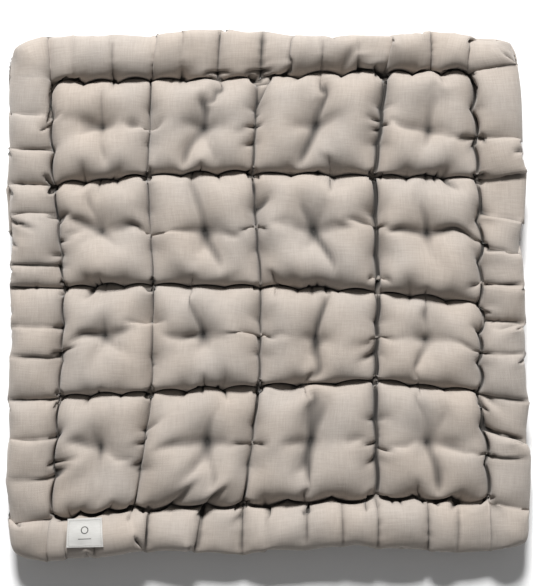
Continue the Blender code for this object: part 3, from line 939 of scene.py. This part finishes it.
def add_seam_threads(panel, top, bottom):
    pieces = []
    for number in range(COLUMNS + 1):
        seam = panel.seams[number]
        for along_x, word in ((True, "cross"), (False, "long")):
            path = seam_stitch_path(top, bottom, panel.stitches, along_x, seam, number)
            points, faces = tube([path], THREAD_RADIUS)
            piece = add_mesh(f"thread_{word}_{number + 1}", points, faces, THREAD)
            pieces.append((piece, f"{word}_seam_thread_{number + 1}"))
    return pieces


def add_ties(panel, top, bottom):
    """A loop of thread through each square, drawn tight."""
    pieces = []
    reach, sunk, raised = 0.004, 0.001, 0.0004
    for r, j in enumerate(panel.ties):
        for c, i in enumerate(panel.ties):
            high, low = top[j, i], bottom[j, i]
            up, down = high[2] + THREAD_RADIUS, low[2] - THREAD_RADIUS
            x, y = high[0], high[1]
            loop = [(x - reach, y, up - sunk), (x, y, up + raised), (x + reach, y, up - sunk),
                    (x + reach, y, (up + down) / 2), (x + reach, y, down + sunk),
                    (x, y, down - raised), (x - reach, y, down + sunk),
                    (x - reach, y, (up + down) / 2)]
            points, faces = tube([eased(loop, 2, closed=True)], THREAD_RADIUS, closed=True)
            node = f"tuft_tie_{r + 1}_{c + 1}"
            pieces.append((add_mesh(f"tie_{r + 1}_{c + 1}", points, faces, THREAD), node))
    return pieces


def add_edge_thread(top):
    """Overcast stitches that close the cover all the way round."""
    rows, columns = top.shape[:2]
    rim = top.reshape(-1, 3)[rim_of(rows, columns)]
    closed = np.concatenate([rim, rim[:1]])
    length = np.concatenate([[0], np.cumsum(np.linalg.norm(np.diff(closed, axis=0), axis=1))])
    stitch, steps = 0.008, 8
    reach, outward = 0.0016, 0.0004
    count = int(length[-1] / stitch)
    at = np.linspace(0, length[-1], count * steps, endpoint=False)
    path = np.stack([np.interp(at, length, closed[:, k]) for k in range(3)], -1)
    out = np.cross(np.roll(path, -1, 0) - np.roll(path, 1, 0), (0, 0, 1))
    out /= np.linalg.norm(out, axis=1, keepdims=True)
    turn = np.arange(len(at)) * 2 * np.pi / steps
    path = path + out * (reach * np.cos(turn) + outward)[:, None]
    path[:, 2] += reach * np.sin(turn)
    points, faces = tube([path], EDGE_THREAD_RADIUS, sides=5, closed=True)
    return add_mesh("thread_edge", points, faces, THREAD)


def label_surface(tree):
    """The label's upper side as a function of its two shares: a stiff tape laid on the roll."""
    count, clearance, well_above = 13, 0.0012, 0.3
    down = Vector((0, 0, -1))
    corners = [Vector(corner) for corner in LABEL_CORNERS]
    spots = np.zeros((count, count, 3))
    for j in range(count):
        for i in range(count):
            s, t = i / (count - 1), j / (count - 1)
            near = corners[0].lerp(corners[1], s)
            spot = near.lerp(corners[3].lerp(corners[2], s), t)
            hit = tree.ray_cast(Vector((spot.x, spot.y, well_above)), down)[0]
            spots[j, i] = (spot.x, spot.y, hit.z + clearance)
    under = spots[..., 2].copy()
    for _ in range(40):
        smooth = np.pad(spots[..., 2], 1, mode="edge")
        smooth = (smooth[:-2, 1:-1] + smooth[2:, 1:-1] + smooth[1:-1, :-2] + smooth[1:-1, 2:]) / 4
        spots[..., 2] = np.maximum(smooth, under)
    return spots


def add_label(tree):
    """The tape as a closed sheet, twice as thick where its two ends are turned under."""
    thickness, hem, hem_step, finer = 0.0004, 0.0035, 0.0008, 4
    coarse = label_surface(tree)
    last = len(coarse) - 1
    upper = softened(resampled(coarse, np.linspace(0, last, last * finer + 1)), 6)
    share = np.linspace(0, 1, len(upper))
    side = np.minimum(share, 1 - share) * LABEL_FLAT[0]
    fold = smoothstep((hem - side) / hem_step + 0.5)
    upper = upper + grid_normals(upper) * thickness * fold[None, :, None]
    lower = upper - grid_normals(upper) * (thickness + thickness * fold)[None, :, None]
    points, faces = shell(upper, lower)
    flat = np.stack(np.meshgrid(share * LABEL_FLAT[0], share * LABEL_FLAT[1]), -1).reshape(-1, 2)
    return add_mesh("label_tape", points, faces, TAPE, np.concatenate([flat, flat])), upper


def add_label_stitches(upper):
    """A running stitch round the label, inside its edges."""
    size = upper.shape[0]
    inset, pitch = 0.0035, 0.0034
    arc = ((0.12, -0.0008), (0.2, 0.0003), (0.5, 0.0005), (0.8, 0.0003), (0.88, -0.0008))
    s_in, t_in = inset / LABEL_FLAT[0], inset / LABEL_FLAT[1]
    corners = [(s_in, t_in), (1 - s_in, t_in), (1 - s_in, 1 - t_in), (s_in, 1 - t_in)]
    normals = grid_normals(upper)
    paths = []
    for (s0, t0), (s1, t1) in zip(corners, corners[1:] + corners[:1]):
        length = math.hypot((s1 - s0) * LABEL_FLAT[0], (t1 - t0) * LABEL_FLAT[1])
        count = round(length / pitch)
        for k in range(count):
            path = []
            for part, lift in arc:
                share = (k + part) / count
                s, t = s0 + (s1 - s0) * share, t0 + (t1 - t0) * share
                i, j = int(s * (size - 1)), int(t * (size - 1))
                di, dj = s * (size - 1) - i, t * (size - 1) - j
                spot = (upper[j, i] * (1 - di) * (1 - dj) + upper[j, i + 1] * di * (1 - dj)
                        + upper[j + 1, i] * (1 - di) * dj + upper[j + 1, i + 1] * di * dj)
                path.append(spot + normals[j, i] * lift)
            paths.append(eased(path, 1))
    points, faces = tube(paths, LABEL_THREAD_RADIUS, sides=5)
    return add_mesh("label_stitches", points, faces, LABEL_THREAD)


top_panel = solve(TOP_STYLE)
bottom_panel = solve(BOTTOM_STYLE)
top, bottom = held_apart(top_panel, top_panel.points, turned_over(bottom_panel.points))

cover_top = add_cover("cover_top", top_panel, top, grid_normals(top))
cover_bottom = add_cover("cover_bottom", bottom_panel, bottom, -grid_normals(bottom))
filling = add_filling(top_panel, top, bottom)
seam_threads = add_seam_threads(top_panel, top, bottom)
ties = add_ties(top_panel, top, bottom)
edge_thread = add_edge_thread(top)

label, label_top = add_label(tree_of(top))
label_stitches = add_label_stitches(label_top)

PIECES = [
    (cover_top, "top_panel", "cover_fabric"),
    (cover_bottom, "bottom_panel", "cover_fabric"),
    (filling, "fibre_fill", "fibre"),
    (edge_thread, "edge_seam_thread", "sewing_thread"),
    (label, "label", "label_fabric"),
    (label_stitches, "label_stitching", "sewing_thread"),
    *((piece, node, "sewing_thread") for piece, node in seam_threads + ties),
]
for piece, node, slot in PIECES:
    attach(piece, "root")
    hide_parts(node)

# ---------------------------------------------------------------- floor, light and camera


def add_floor():
    reach, drop = 12.0, 0.0004
    corners = [(x * reach, y * reach, -drop) for x, y in ((-1, -1), (1, -1), (1, 1), (-1, 1))]
    return add_mesh("floor", corners, [(0, 1, 2, 3)], floor_paint())


def add_key_light(place, size, power):
    """A soft lamp far off, aimed at the middle of the floor."""
    light = bpy.data.lights.new("key", "AREA")
    light.size = size
    light.energy = power
    lamp = bpy.data.objects.new("key", light)
    lamp.location = place
    lamp.rotation_euler = (-Vector(place)).to_track_quat("-Z", "Y").to_euler()
    bpy.context.scene.collection.objects.link(lamp)


def add_world(strength):
    world = bpy.data.worlds.new("studio")
    world.use_nodes = True
    background = world.node_tree.nodes["Background"]
    background.inputs["Color"].default_value = (1, 1, 1, 1)
    background.inputs["Strength"].default_value = strength
    bpy.context.scene.world = world


def add_camera():
    """Straight down, so that the cushion fills the frame as in the photograph."""
    sensor, lens = 36.0, 100.0
    view_height, surface = 1.115, 0.08
    centre = (-0.001, 0.0067)
    camera = bpy.data.cameras.new("camera")
    camera.sensor_width = sensor
    camera.lens = lens
    eye = bpy.data.objects.new("camera", camera)
    eye.location = (*centre, view_height * lens / sensor + surface)
    bpy.context.scene.collection.objects.link(eye)
    bpy.context.scene.camera = eye


add_floor()
add_world(0.20)
add_key_light((-0.4, 7.6, 6.4), 2.0, 1780)
add_camera()
bpy.context.scene.view_settings.view_transform = "Standard"
